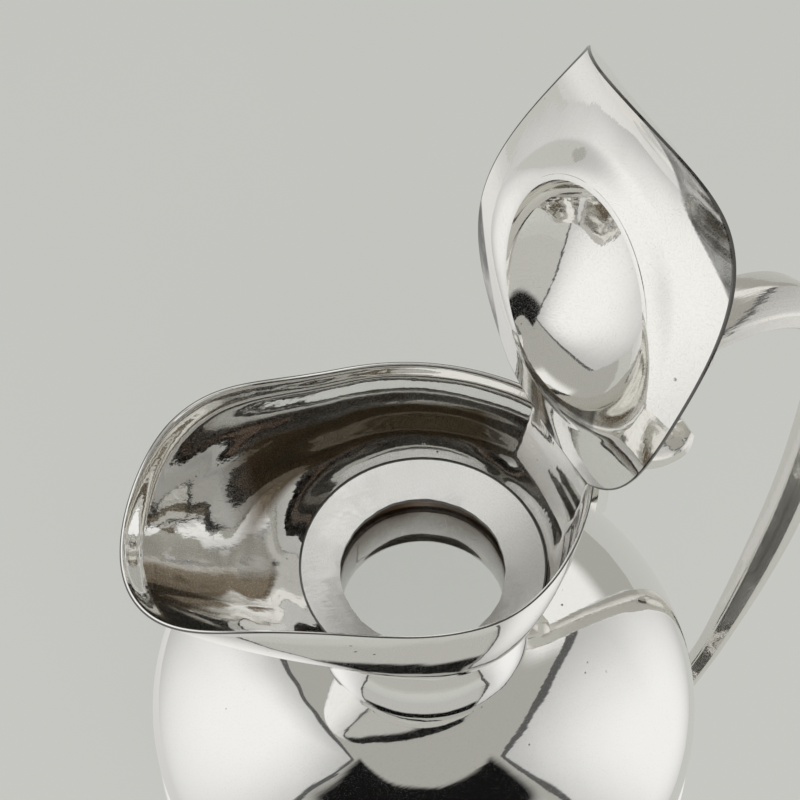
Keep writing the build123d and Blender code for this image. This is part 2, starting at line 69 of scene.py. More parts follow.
silver_sheet = 1.0 * MM
plaster_bed = 0.7 * MM
seat = 0.05 * MM
glass_wall = 3.0 * MM
glass_bore = 24.0 * MM
glass_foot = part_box("glass_body")[0][2]
glass_floor = 8.0 * MM
axis_gap = 0.5 * MM


def hermite(start, end, start_slope, end_slope, count):
    """Cubic curve between two points with given end slopes, as rows of points."""
    t = np.linspace(0, 1, count)[:, None]
    start, end, start_slope, end_slope = map(np.asarray, (start, end, start_slope, end_slope))
    rise = 2 * t**3 - 3 * t**2 + 1
    return (
        rise * start
        + (t**3 - 2 * t**2 + t) * start_slope
        + (1 - rise) * end
        + (t**3 - t**2) * end_slope
    )


def belly_at(height, inset=0.0):
    """Radius of the belly's ellipse at a height under the widest place."""
    return (body_radius - inset) * np.sqrt(1 - ((equator - height) / (belly_drop - inset)) ** 2)


def shell_line(inset, start, low):
    """Half outline down from the shoulder's angle to a height: (w cos t, rise sin t), then the belly's."""
    turn = np.linspace(start, 0, 72)[:-1]
    width = body_radius - inset
    above = np.stack([width * np.cos(turn), equator + (shoulder_rise - inset) * np.sin(turn)], 1)
    turn = np.linspace(0, math.asin((equator - low) / (belly_drop - inset)), 48)
    below = np.stack([width * np.cos(turn), equator - (belly_drop - inset) * np.sin(turn)], 1)
    return np.concatenate([above, below])


def bore_angle(inset):
    """Angle on the shoulder's ellipse at the glass opening."""
    return math.acos(glass_bore / (body_radius - inset))


def mesh_piece(name, rows, wrap_rows, wrap_columns, body, sharp=35):
    """Piece from a grid of points, its rows and columns closed into loops where asked."""
    rows = np.asarray(rows, float)
    high, wide = rows.shape[:2]
    row = np.arange(high if wrap_rows else high - 1)[:, None]
    column = np.arange(wide if wrap_columns else wide - 1)[None, :]
    next_row, next_column = (row + 1) % high, (column + 1) % wide
    corners = [row * wide + column, row * wide + next_column,
               next_row * wide + next_column, next_row * wide + column]
    faces = np.stack(np.broadcast_arrays(*corners), -1).reshape(-1, 4)
    mesh = bpy.data.meshes.new(name)
    mesh.from_pydata(rows.reshape(-1, 3), [], faces.tolist())
    mesh.validate()
    mesh.shade_smooth()
    mesh.set_sharp_from_angle(angle=math.radians(sharp))
    piece = bpy.data.objects.new(name, mesh)
    bpy.context.scene.collection.objects.link(piece)
    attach(piece, body)
    return piece


def turned(name, outline, steps=256, sharp=35):
    """Round piece: points (r cos t, r sin t, z) of a closed outline (r, z) turned about the jug's axis."""
    outline = np.asarray(outline, float)
    turn = np.linspace(0, 2 * math.pi, steps, endpoint=False)[:, None]
    points = np.stack([
        outline[None, :, 0] * np.cos(turn),
        outline[None, :, 0] * np.sin(turn),
        np.broadcast_to(outline[None, :, 1], (steps, len(outline))),
    ], -1)
    return mesh_piece(name, points, True, True, "jug", sharp)


def material(name):
    """New node material: itself, its shader, a function that adds a node and one that joins two sockets."""
    made = bpy.data.materials.new(name)
    made.use_nodes = True
    tree = made.node_tree
    shader = tree.nodes["Principled BSDF"]

    def add(kind, inputs=(), **settings):
        node = tree.nodes.new(kind)
        for key, value in settings.items():
            setattr(node, key, value)
        for key, value in dict(inputs).items():
            if isinstance(value, bpy.types.NodeSocket):
                tree.links.new(value, node.inputs[key])
            else:
                node.inputs[key].default_value = value
        return node

    def join(source, target):
        tree.links.new(source, target)

    return made, shader, add, join


def finish_piece(piece, finish, slot, *nodes):
    """Gives a piece its finish and hides the CAD nodes that it stands for; slot is not used."""
    piece.data.materials.clear()
    piece.data.materials.append(finish)
    if nodes:
        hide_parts(*nodes)


glass, shader, add, join = material("clear_blown_glass")
place = add("ShaderNodeTexCoord")
seeds = add("ShaderNodeTexNoise", {"Vector": place.outputs["Object"], "Scale": 60.0, "Detail": 2.0})
waves = add("ShaderNodeBump", {"Height": seeds.outputs["Fac"], "Strength": 0.04, "Distance": 0.002})
shader.inputs["Base Color"].default_value = (0.985, 0.99, 0.985, 1)
shader.inputs["Roughness"].default_value = 0.0
shader.inputs["IOR"].default_value = 1.5
shader.inputs["Transmission Weight"].default_value = 1.0
join(waves.outputs["Normal"], shader.inputs["Normal"])

glass_inset = silver_sheet + plaster_bed
inner_inset = glass_inset + glass_wall
outer = shell_line(glass_inset, bore_angle(glass_inset), glass_foot)
inner = shell_line(inner_inset, bore_angle(inner_inset), glass_foot + glass_floor)
floor_middle = [[axis_gap, glass_foot], [axis_gap, glass_foot + glass_floor]]
glass_body = turned("glass_body_blown", np.concatenate([outer, floor_middle, inner[::-1]]))
finish_piece(glass_body, glass, "clear_glass", "glass_body")

# Plaster beds
# A thin bed of brown-stained plaster holds the glass in the shoulder mount, another in the base cup.
# They show only through the glass, as a dark lining of the two mounts.
border_radius = 1.3 * MM
shoulder_edge = equator - 14.0 * MM
base_edge = 64.0 * MM
base_floor = 32.0 * MM

plaster, shader, add, join = material("stained_plaster")
place = add("ShaderNodeTexCoord")
stains = add("ShaderNodeTexNoise", {"Vector": place.outputs["Object"], "Scale": 90.0, "Detail": 6.0,
                                    "Roughness": 0.7})
tones = add("ShaderNodeValToRGB", {"Fac": stains.outputs["Fac"]})
tones.color_ramp.elements[0].position = 0.35
tones.color_ramp.elements[0].color = (0.22, 0.18, 0.13, 1)
tones.color_ramp.elements[1].position = 0.7
tones.color_ramp.elements[1].color = (0.52, 0.47, 0.39, 1)
grain = add("ShaderNodeBump", {"Height": stains.outputs["Fac"], "Strength": 0.4, "Distance": 0.0006})
join(tones.outputs["Color"], shader.inputs["Base Color"])
join(grain.outputs["Normal"], shader.inputs["Normal"])
shader.inputs["Roughness"].default_value = 0.75

contact = 0.05 * MM
for name, low in (("shoulder_plaster", shoulder_edge + border_radius),
                  ("base_plaster", base_floor + silver_sheet + seat)):
    if name == "shoulder_plaster":
        outside = shell_line(silver_sheet + seat, bore_angle(silver_sheet + seat), low)
        inside = shell_line(glass_inset + contact, bore_angle(glass_inset + contact), low)
    else:
        levels = np.linspace(base_edge - border_radius, low, 40)
        outside = np.stack([belly_at(levels, silver_sheet + seat), levels], 1)
        floor_level = low + plaster_bed - 2 * seat
        levels = np.linspace(base_edge - border_radius, floor_level, 40)
        inside = np.stack([belly_at(levels, glass_inset + contact), levels], 1)
        outside = np.concatenate([outside, [[axis_gap, low]]])
        inside = np.concatenate([inside, [[axis_gap, floor_level]]])
    bed = turned(name + "_bed", np.concatenate([outside, inside[::-1]]), steps=128)
    finish_piece(bed, plaster, "bedding_plaster", name)

# Shoulder mount and neck collar
# Raised silver-plated sheet: the dome over the shoulder, and the swept neck that flares out to the cup.
# Planishing left faint waves, and use left hair scratches, pits and a dull bloom.
neck_radius = 18.0 * MM
neck_foot = ring_height - 17.0 * MM
flare_foot = ring_height - 9.5 * MM
cup_foot_radius = 26.2 * MM
join_radius = 23.0 * MM
join_angle = math.acos(join_radius / body_radius)


def times(add, first, second):
    """Product of two values of a material."""
    return add("ShaderNodeMath", {0: first, 1: second}, operation="MULTIPLY").outputs["Value"]


def tone_mix(add, factor, first, second):
    """Blend of two colours of a material."""
    mixed = add("ShaderNodeMix", {"Factor": factor, "A": first, "B": second}, data_type="RGBA")
    return mixed.outputs["Result"]


def silver(name, waves, scratch=0.01, dull=0.12, bloom=0.3, tint=(0.93, 0.925, 0.905), painted_shade_and_reflection=None,
           brown=None, veil=0.0, streaks=0.0):
    """Silver plate: a mirror with waves, scratches and pits, in which some tiny specks have gone dull.

    waves holds the waves' scale and strength, dull the share of specks and bloom their roughness.
    The function for painted shade and painted reflections gives, from the nodes' add function and the
    object's place, where they darken the silver: brown is the specks' painted colour there, and veil lightens
    it for the mirror between them.
    streaks is the strength of the rings that run round a wall by its wall_share, calmer at the spout."""
    made, shader, add, join = material(name)
    place = add("ShaderNodeTexCoord").outputs["Object"]
    scale, strength = waves
    normal = None
    for factor, share in ((1.0, 1.0), (3.1, 0.16)):
        noise = add("ShaderNodeTexNoise", {"Vector": place, "Scale": scale * factor, "Detail": 1.0})
        links = {"Height": noise.outputs["Fac"], "Strength": strength * share, "Distance": 0.004}
        if normal:
            links["Normal"] = normal
        normal = add("ShaderNodeBump", links).outputs["Normal"]
    if streaks:
        level = add("ShaderNodeAttribute", attribute_name="wall_share").outputs["Vector"]
        lifted = add("ShaderNodeVectorMath", {0: level, 1: (5.0, 0.0, 0.0)}, operation="MULTIPLY")
        along = add("ShaderNodeVectorMath", {0: place, 1: (5.0, 5.0, 0.0)}, operation="MULTIPLY")
        spot = add("ShaderNodeVectorMath", {0: lifted.outputs["Vector"], 1: along.outputs["Vector"]},
                   operation="ADD")
        rings = add("ShaderNodeTexNoise", {"Vector": spot.outputs["Vector"], "Scale": 1.0, "Detail": 0.0})
        split = add("ShaderNodeSeparateXYZ", {"Vector": place})
        calm = add("ShaderNodeMapRange", {"Value": split.outputs["X"], "From Min": -0.044, "From Max": -0.024,
                                          "To Min": 0.2 * streaks, "To Max": streaks})
        normal = add("ShaderNodeBump", {"Height": rings.outputs["Fac"], "Strength": calm.outputs["Result"],
                                        "Distance": 0.004, "Normal": normal}).outputs["Normal"]
    stretch = add("ShaderNodeMapping", {"Vector": place, "Scale": (90.0, 1400.0, 420.0),
                                        "Rotation": (0.5, 0.3, 0.7)})
    hairs = add("ShaderNodeTexNoise", {"Vector": stretch.outputs["Vector"], "Scale": 1.0, "Detail": 3.0})
    normal = add("ShaderNodeBump", {"Height": hairs.outputs["Fac"], "Strength": scratch, "Distance": 0.001,
                                    "Normal": normal}).outputs["Normal"]
    pits = add("ShaderNodeTexVoronoi", {"Vector": place, "Scale": 300.0})
    holes = add("ShaderNodeMapRange", {"Value": pits.outputs["Distance"], "From Min": 0.05, "From Max": 0.10})
    patches = add("ShaderNodeTexNoise", {"Vector": place, "Scale": 55.0, "Detail": 4.0})
    spared = add("ShaderNodeMapRange", {"Value": patches.outputs["Fac"], "From Min": 0.62, "From Max": 0.66,
                                        "To Min": 1.0, "To Max": 0.0})
    whole = add("ShaderNodeMath", {0: holes.outputs["Result"], 1: spared.outputs["Result"]},
                operation="MAXIMUM").outputs["Value"]
    normal = add("ShaderNodeBump", {"Height": whole, "Strength": 0.4, "Distance": 0.0003,
                                    "Normal": normal}).outputs["Normal"]
    cells = add("ShaderNodeVectorMath", {0: place, 1: (0.00007, 0.00007, 0.00007)}, operation="SNAP")
    chance = add("ShaderNodeTexWhiteNoise", {"Vector": cells.outputs["Vector"]})
    spread = add("ShaderNodeMapRange", {"Value": patches.outputs["Fac"], "From Min": 0.3, "From Max": 0.7,
                                        "To Min": dull * 0.6, "To Max": dull * 1.4}).outputs["Result"]
    clear = (*tint, 1)
    dulled = (*[0.86 * value for value in tint], 1)
    # Painted shade and reflections: where the mask gives, the specks take brown, the mirror between them a
    # light veil of it, and more specks go dull.
    if painted_shade_and_reflection:
        painted_share = painted_shade_and_reflection(add, place)
        spread = add("ShaderNodeMath", {0: painted_share, 1: 0.5, 2: spread},
                     operation="MULTIPLY_ADD").outputs["Value"]
        dulled = tone_mix(add, painted_share, dulled, (*brown, 1))
        clear = tone_mix(add, painted_share, clear, (*[veil + 0.72 * value for value in brown], 1))
    speck = add("ShaderNodeMath", {0: chance.outputs["Value"], 1: spread},
                operation="LESS_THAN").outputs["Value"]
    pit_brown = (0.2, 0.16, 0.12, 1)
    tone = tone_mix(add, whole, pit_brown, tone_mix(add, speck, clear, dulled))
    rough = add("ShaderNodeMapRange", {"Value": speck, "To Min": 0.025, "To Max": bloom})
    shader.inputs["Metallic"].default_value = 1.0
    join(tone, shader.inputs["Base Color"])
    join(rough.outputs["Result"], shader.inputs["Roughness"])
    join(normal, shader.inputs["Normal"])
    return made


def band(add, value, low, high, soft):
    """1 between two values and 0 outside, with soft edges."""
    rise = add("ShaderNodeMapRange", {"Value": value, "From Min": low - soft, "From Max": low + soft})
    fall = add("ShaderNodeMapRange", {"Value": value, "From Min": high - soft, "From Max": high + soft,
                                      "To Min": 1.0, "To Max": 0.0})
    return times(add, rise.outputs["Result"], fall.outputs["Result"])


def throat_painted_shade(add, place):
    """Painted brown shade inside the neck, darkest right under the funnel ring."""
    split = add("ShaderNodeSeparateXYZ", {"Vector": place})
    cloud = add("ShaderNodeTexNoise", {"Vector": place, "Scale": 90.0, "Detail": 4.0})
    moved = add("ShaderNodeMath", {0: cloud.outputs["Fac"], 1: 0.009, 2: split.outputs["Z"]},
                operation="MULTIPLY_ADD")
    depth = add("ShaderNodeMapRange", {"Value": moved.outputs["Value"], "From Min": ring_height - 0.013,
                                       "From Max": ring_height - 0.002, "To Min": 0.35, "To Max": 1.0})
    return depth.outputs["Result"]


def collar_line(inset):
    """Half outline of the collar: flare under the cup, straight neck, sweep out to the shoulder."""
    neck = neck_radius - inset
    width, rise = body_radius - inset, shoulder_rise - inset
    foot = np.array([width * math.cos(join_angle), equator + rise * math.sin(join_angle)])
    along = np.array([width * math.sin(join_angle), -rise * math.cos(join_angle)])
    along /= np.hypot(*along)
    top = np.array([cup_foot_radius - inset, ring_height])
    reach = np.hypot(*(top - (neck, flare_foot)))
    sweep = np.hypot(*(foot - (neck, neck_foot)))
    lean = np.array([-0.33, -1.0]) / math.hypot(0.33, 1.0)
    return np.concatenate([
        hermite(top, (neck, flare_foot), lean * reach, (0, -reach), 18)[:-1],
        np.linspace((neck, flare_foot), (neck, neck_foot), 6)[:-1],
        hermite((neck, neck_foot), foot, (0, -sweep), along * sweep, 26),
    ])


shoulder_silver = silver("shoulder_silver", waves=(30.0, 0.14), scratch=0.004, dull=0.03, bloom=0.2)
outside = shell_line(0.0, join_angle, shoulder_edge)
inside = shell_line(silver_sheet, join_angle, shoulder_edge)
shoulder = turned("shoulder_raised", np.concatenate([outside, inside[::-1]]))
finish_piece(shoulder, shoulder_silver, "silver_plate", "shoulder_mount")

collar_silver = silver("collar_silver", waves=(60.0, 0.16), dull=0.04)
# Inside the neck the silver has painted brown shade, darkest right under the funnel ring.
throat_silver = silver("throat_silver", waves=(60.0, 0.16), dull=0.10, painted_shade_and_reflection=throat_painted_shade,
                       brown=(0.10, 0.06, 0.035), veil=0.05)
outside, inside = collar_line(0.0), collar_line(silver_sheet)
collar = turned("neck_collar_raised", np.concatenate([outside, inside[::-1]]))
finish_piece(collar, collar_silver, "silver_plate", "neck_collar")
collar.data.materials.append(throat_silver)
place_on_line = np.arange(len(collar.data.polygons)) % (len(outside) + len(inside))
collar.data.polygons.foreach_set("material_index", (place_on_line >= len(outside)).astype(np.int32))

# Border wires
# Half-round wire soldered along the lower edge of the shoulder and the upper edge of the base cup.
# Both are drawn wire, bent to a ring and filled with solder on the inside.
for name, level in (("shoulder_border", shoulder_edge), ("base_border", base_edge)):
    turn = np.linspace(-math.pi / 2, math.pi / 2, 17)
    bulge = np.stack([belly_at(level) + border_radius * np.cos(turn),
                      level + border_radius * np.sin(turn)], 1)
    back = level + border_radius * np.linspace(1, -1, 7)
    inner_face = np.stack([belly_at(back, -seat), back], 1)
    wire = turned(name + "_wire", np.concatenate([bulge, inner_face]), sharp=50)
    finish_piece(wire, shoulder_silver, "silver_plate", name)

# Funnel ring
# A shallow funnel of silver plate that covers the top of the neck and leads the wine into it.
# Its hole was cut by hand, so the edge wanders, and its top is worn and pitted.
ring_radius = 25.0 * MM
ring_hole = 16.9 * MM
ring_sink = 3.4 * MM
ring_sheet = 1.0 * MM
ring_bevel = 0.5 * MM
ring_silver = silver("ring_silver", waves=(90.0, 0.10), scratch=0.05, dull=0.5, bloom=0.35,
                     tint=(0.98, 0.975, 0.96))
ring_silver.node_tree.nodes["Principled BSDF"].inputs["Metallic"].default_value = 0.35
# Near-black silver for the cut edges: painted shade along the ring's hole and outer edge, the cup's rim and
# the lid's rim.
edge_painted_shade = silver("edge_painted_shade", waves=(80.0, 0.05), dull=0.5, tint=(0.16, 0.155, 0.15))
turn = np.linspace(0, 2 * math.pi, 360, endpoint=False)
ragged = 0.07 * MM * (np.sin(5 * turn + 1.0) + 0.6 * np.sin(13 * turn + 0.4) + 0.5 * np.sin(29 * turn + 2.0))
hole = ring_hole + ragged[:, None]
share = np.linspace(0, 1, 24)
across, along = np.cos(turn)[:, None], np.sin(turn)[:, None]
radius = ring_radius + (hole - ring_radius) * share
level = ring_height - ring_sink * (0.82 * share + 0.18 * share**2) + 0 * radius
top_side = np.stack([radius * across, radius * along, level], -1)
radius = ring_radius - ring_bevel + (hole - ring_radius + ring_bevel) * share
low_side = np.stack([radius * across, radius * along, level - ring_sheet], -1)
ring = mesh_piece("neck_ring_funnel", np.concatenate([low_side, top_side[:, ::-1]], 1), True, True, "jug")
finish_piece(ring, ring_silver, "silver_plate", "neck_ring")
# The ring's hole edge and outer edges take the painted shade.
ring.data.materials.append(edge_painted_shade)
hole_edge, outer_edges = len(share) - 1, (2 * len(share) - 2, 2 * len(share) - 1)
place_across = np.arange(len(ring.data.polygons)) % (2 * len(share))
ring_edges = np.isin(place_across, (hole_edge, *outer_edges)).astype(np.int32)
ring.data.polygons.foreach_set("material_index", ring_edges)

# Pouring cup
# Raised from one sheet: a round foot on the neck opens into a wide helmet-shaped mouth.
# The wall is full at the sides and back, and nearly straight under the spout; the rim climbs in front.
cup_half_width = 31.5 * MM
cup_centre = -3.0 * MM
cup_front = 54.5 * MM
cup_back = 39.0 * MM
cup_rear = 30.8 * MM
rim_low = 26.3 * MM
rim_rise = 17.7 * MM
rim_crest = -38.5 * MM
rim_spread_back = 26.0 * MM
rim_spread_front = 21.7 * MM
cup_sheet = 1.1 * MM
rim_thinning = 0.55 * MM
spout_bulge = 0.25
side_bulge = 0.8


def rim_height(x):
    """Height of the rim over the ring plane: low at the back, with a bell-shaped rise over the spout."""
    spread = np.where(x > rim_crest, rim_spread_back, rim_spread_front)
    return rim_low + rim_rise * np.exp(-(((x - rim_crest) / spread) ** 2))


def cup_wall(inset, around, shares):
    """Grid of the cup's wall, from the foot to the rim, around the mouth from the spout and back.

    A point lies between the foot's circle and the rim, at the share s of the height: s + b s (1 - s) of the
    way out, with the wall's bulge b."""
    inset = np.broadcast_to(inset, shares.shape)[:, None]
    turn = np.linspace(0, 1, around)
    corner = math.asin((cup_rear - cup_centre) / cup_back)
    front = turn < 0.5
    angle = np.where(front, turn * math.pi, (turn - 0.5) * 2 * corner)
    x = np.where(front, cup_centre - (cup_front - inset) * np.cos(angle),
                 cup_centre + (cup_back - inset) * np.sin(angle))
    y = (cup_half_width - inset) * np.where(front, np.sin(angle), np.abs(np.cos(angle)) ** 1.5)
    base = math.pi * (1 - turn * 0.86)
    bulge = spout_bulge + (side_bulge - spout_bulge) * np.minimum(1, 2 * turn)
    rear = np.linspace(1, -1, 26)[1:-1]
    x = np.concatenate([x, x[:, -1:] + 0 * rear, x[:, :0:-1]], 1)
    y = np.concatenate([y, y[:, -1:] * rear, -y[:, :0:-1]], 1)
    base = np.concatenate([base, base[-1] * rear, -base[:0:-1]])
    bulge = np.concatenate([bulge, np.full(len(rear), bulge[-1]), bulge[:0:-1]])
    height = rim_height(x)
    share = shares[:, None]
    reach = share + bulge * share * (1 - share)
    foot = cup_foot_radius - inset
    return np.stack([
        foot * np.cos(base) * (1 - reach) + x * reach,
        foot * np.sin(base) * (1 - reach) + y * reach,
        ring_height + share * height,
    ], -1)


def smooth_step(value, low, high):
    """0 under low, 1 over high, and 3 t^2 - 2 t^3 between."""
    t = np.clip((value - low) / (high - low), 0, 1)
    return t**2 * (3 - 2 * t)


def cup_painted_reflection(add, place):
    """Painted reflection: a dark brown band at half height on the far side of the cup's wall, away from spout
    and hinge.
    """
    split = add("ShaderNodeSeparateXYZ", {"Vector": place})
    level = add("ShaderNodeAttribute", attribute_name="wall_share")
    cloud = add("ShaderNodeTexNoise", {"Vector": place, "Scale": 40.0, "Detail": 5.0})
    moved = add("ShaderNodeMath", {0: cloud.outputs["Fac"], 1: 0.16, 2: level.outputs["Fac"]},
                operation="MULTIPLY_ADD")
    rows = band(add, moved.outputs["Value"], 0.30, 0.68, 0.03)
    side = band(add, split.outputs["X"], -0.030, 0.026, 0.004)
    far = band(add, split.outputs["Y"], -0.004, 0.050, 0.004)
    return times(add, rows, times(add, far, side))


cup_silver = silver("cup_silver", waves=(34.0, 0.14), dull=0.06)
# Inside the cup: a painted dark brown reflection band at half height on the far wall.
cup_inside = silver("cup_inside_silver", waves=(26.0, 0.26), scratch=0.02, dull=0.08, painted_shade_and_reflection=cup_painted_reflection,
                    brown=(0.20, 0.15, 0.09), veil=0.14, streaks=0.20)
shares = np.linspace(0, 1, 110)
outside = cup_wall(0.0, 200, shares)
thinned = cup_sheet - rim_thinning * smooth_step(shares, 0.88, 1.0)
inside = cup_wall(thinned, 200, shares)
edge = (outside[-1] + inside[-1]) / 2 + (0, 0, 0.1 * MM)
cup = mesh_piece("pouring_cup", np.concatenate([outside, edge[None], inside[::-1]]), True, True, "jug", 60)
finish_piece(cup, cup_silver, "silver_plate", "cup")
cup.data.materials.append(cup_inside)
# The strip over the cup's rim takes the painted shade.
cup.data.materials.append(edge_painted_shade)
high, wide = outside.shape[:2]
within = np.zeros(len(cup.data.polygons), np.int32)
within[(high + 1) * wide:2 * high * wide] = 1
within[(high - 1) * wide:high * wide] = 2
cup.data.polygons.foreach_set("material_index", within)
wall_share = np.repeat(np.concatenate([shares, [1.0], shares[::-1]]), wide).astype(np.float32)
cup.data.attributes.new("wall_share", "FLOAT", "POINT").data.foreach_set("value", wall_share)

# Lid
# One sheet, dished between its edges, with a deep round dome raised in the middle and a hooded front.
# It is worked out closed and then turned open about the pin, as it stands in the photo.
lid_open = math.radians(86.07)
pin_x = 30.3 * MM
pin_height = ring_height + 30.8 * MM
lid_half_width = 31.2 * MM
lid_centre = -9.0 * MM
lid_front = 48.7 * MM
lid_back = 46.5 * MM
lid_rear = 27.4 * MM
lid_gap = 0.4 * MM
lid_sheet = 1.0 * MM
lid_power = 0.72
lid_dish = 3.3
dome_centre = -8.8 * MM
dome_length = 18.0 * MM
dome_width = 20.0 * MM
dome_height = 12.0 * MM
dome_foot = 27.66 * MM
dome_slope = -0.36
dome_blend = 6.0 * MM


def lid_width(x):
    """Half width of the lid's outline at x."""
    length = np.where(x < lid_centre, lid_front, lid_back)
    share = np.minimum(1, np.abs(x - lid_centre) / length)
    return lid_half_width * (1 - share**2) ** lid_power


def lid_level(x, y):
    """Height of the lid's under surface: the rim's height and a shallow dish between the edges."""
    return ring_height + rim_height(x) + lid_gap - lid_dish * (lid_width(x) ** 2 - y**2)


def opened(points):
    """Turns points of the closed lid about the pin to where the lid stands."""
    x, y, z = points[..., 0] - pin_x, points[..., 1], points[..., 2] - pin_height
    return np.stack([
        pin_x + x * math.cos(lid_open) + z * math.sin(lid_open),
        y,
        pin_height - x * math.sin(lid_open) + z * math.cos(lid_open),
    ], -1)


def lid_outline(steps):
    """Outline of the closed lid as seen from the dome's middle, one point for each direction."""
    stations = lid_centre + np.concatenate([
        -lid_front * np.cos(np.linspace(0, math.pi / 2, 400)),
        (lid_rear - lid_centre) * np.linspace(0, 1, 300)[1:],
    ])
    half = np.stack([stations, lid_width(stations)], 1)
    rear = np.stack([np.full(60, lid_rear), half[-1, 1] * np.linspace(1, 0, 60)], 1)[1:]
    half = np.concatenate([half, rear])
    turn = np.arctan2(half[:, 1], half[:, 0] - dome_centre)
    size = np.hypot(half[:, 1], half[:, 0] - dome_centre)
    angle = np.linspace(-math.pi, math.pi, steps, endpoint=False)
    reach = np.interp(np.abs(angle), turn[::-1], size[::-1])
    return angle, reach


angle, reach = lid_outline(480)
rim = 1 / np.hypot(np.cos(angle) / dome_length, np.sin(angle) / dome_width)
inner_share = np.sin(np.linspace(0.004, math.pi / 2, 44))
outer_share = np.linspace(0, 1, 60) ** 1.3
distance = np.concatenate([rim[None] * inner_share[:, None],
                           rim[None] + (reach - rim)[None] * outer_share[1:, None]])
x = dome_centre + distance * np.cos(angle)
y = distance * np.sin(angle)
sheet_level = lid_level(x, y)
foot_level = ring_height + dome_foot + dome_slope * x
inside_dome = np.minimum(1, distance / rim[None])
dome_level = foot_level + dome_height * np.sqrt(1 - inside_dome**2)
settle = smooth_step(distance - rim[None], 0.0, dome_blend)
level = np.where(distance < rim[None], dome_level, foot_level + (sheet_level - foot_level) * settle)
under = np.stack([x, y, level], -1)
normal = np.cross(np.gradient(under, axis=1), np.gradient(under, axis=0))
normal /= np.linalg.norm(normal, axis=-1, keepdims=True) + 1e-12
normal *= np.sign(normal[..., 2:3])
thickness = lid_sheet * (1 - 0.5 * smooth_step(distance / reach[None], 0.9, 1.0))
over = under + normal * thickness[..., None]
over[-1] = under[-1] + (0, 0, lid_sheet / 2)
rows = opened(np.concatenate([under, over[::-1]]))


def lid_painted_reflection_and_shade(add, place):
    """Painted dark reflection by the lid's edge and painted shade at the dome's foot, broken by a slow cloud;
    the lid's band attribute says where.
    """
    near = add("ShaderNodeAttribute", attribute_name="painted_reflection_and_shade_band")
    cloud = add("ShaderNodeTexNoise", {"Vector": place, "Scale": 120.0, "Detail": 3.0})
    broken = add("ShaderNodeMapRange", {"Value": cloud.outputs["Fac"], "From Min": 0.36, "From Max": 0.62,
                                        "To Min": 0.45, "To Max": 1.0})
    return times(add, near.outputs["Fac"], broken.outputs["Result"])


# The lid's silver carries a painted dark reflection by its edge and painted shade at the dome's foot.
lid_silver = silver("lid_silver", waves=(34.0, 0.20), tint=(0.95, 0.94, 0.91), painted_shade_and_reflection=lid_painted_reflection_and_shade,
                    brown=(0.08, 0.08, 0.076), veil=0.08)
lid = mesh_piece("lid_raised", rows, False, True, "lid", 50)
# Band of painted light on the lid: dark reflection strips along the near edge at the front and the far edge
# by the middle, then painted shade in a crescent at the dome's foot.
edge_gap = lid_width(x) - np.abs(y)
near_side = 12.0 * MM * smooth_step(-x, 29.0 * MM, 38.0 * MM) * (y < 0)
far_side = 7.0 * MM * np.maximum(0, 1 - ((x - 10.0 * MM) / (14.0 * MM)) ** 2) * (y > 0)
painted_reflection_and_shade_band = smooth_step(near_side + far_side - edge_gap, 0.0, 0.8 * MM)
foot_gap = distance - rim[None] - 0.2 * MM
foot_width = 4.0 * MM * smooth_step(x, 0.0, 7.0 * MM) * smooth_step(-y, -12.0 * MM, 4.0 * MM)
painted_shade_crescent = smooth_step(foot_width - foot_gap, 0.0, 1.0 * MM) * (foot_gap > 0) * (foot_width > 0)
painted_reflection_and_shade_band = np.maximum(painted_reflection_and_shade_band, painted_shade_crescent)
painted_reflection_and_shade_band = np.concatenate([painted_reflection_and_shade_band, 0 * painted_reflection_and_shade_band[::-1]]).astype(np.float32)
lid.data.attributes.new("painted_reflection_and_shade_band", "FLOAT", "POINT").data.foreach_set("value", painted_reflection_and_shade_band.ravel())
finish_piece(lid, lid_silver, "silver_plate", "lid")
# The lid's rim takes the painted shade.
lid.data.materials.append(edge_painted_shade)
edging = np.zeros(len(lid.data.polygons), np.int32)
edging[(len(under) - 2) * len(angle):len(under) * len(angle)] = 1
lid.data.polygons.foreach_set("material_index", edging)

# Handle
# Cast strap of six sides, ridged along its outer and inner faces, from a curled end behind the hinge over
# the arch and down to the base cup. Its rows hold x, the height over the ring, the width and the depth.
handle_line = np.array([
    (42.4, 26.0, 11.5, 7.6), (45.6, 37.0, 12.0, 8.2), (53.5, 44.3, 12.0, 8.6), (65.0, 46.3, 12.0, 8.6),
    (76.0, 43.0, 12.0, 8.6), (85.5, 33.5, 11.8, 8.2), (92.0, 20.0, 11.5, 7.8), (97.0, 0.0, 11.0, 7.2),
    (98.6, -25.0, 10.6, 6.8), (98.0, -50.0, 10.2, 6.4), (95.5, -75.0, 9.4, 5.6), (91.7, -100.0, 8.0, 4.4),
    (87.2, -122.0, 6.8, 3.6), (79.5, -141.0, 6.8, 3.8), (67.5, -153.5, 7.4, 4.2), (55.0, -158.4, 8.2, 4.8),
    (48.5, -159.0, 8.6, 5.0),
]) * MM
scroll_line = np.array([
    (42.4, 26.0, 11.5, 7.6), (43.2, 18.5, 11.5, 7.2), (47.2, 12.3, 11.6, 7.0), (53.0, 10.2, 11.8, 7.0),
    (57.6, 11.0, 10.4, 6.0), (59.6, 12.2, 7.0, 3.6),
]) * MM
strap_side = 0.47
corner_blunt = 0.12 * MM


def smooth_line(points, per_span):
    """Cubic curve through rows of values, with slopes taken from the neighbours on both sides."""
    run = np.concatenate([[0], np.cumsum(np.linalg.norm(np.diff(points[:, :2], axis=0), axis=1))])
    slope = np.gradient(points, run, axis=0)
    spans = []
    for i in range(len(points) - 1):
        length = run[i + 1] - run[i]
        way_out, way_in = slope[i] * length, slope[i + 1] * length
        spans.append(hermite(points[i], points[i + 1], way_out, way_in, per_span)[:-1])
    return np.concatenate(spans + [points[-1:]])


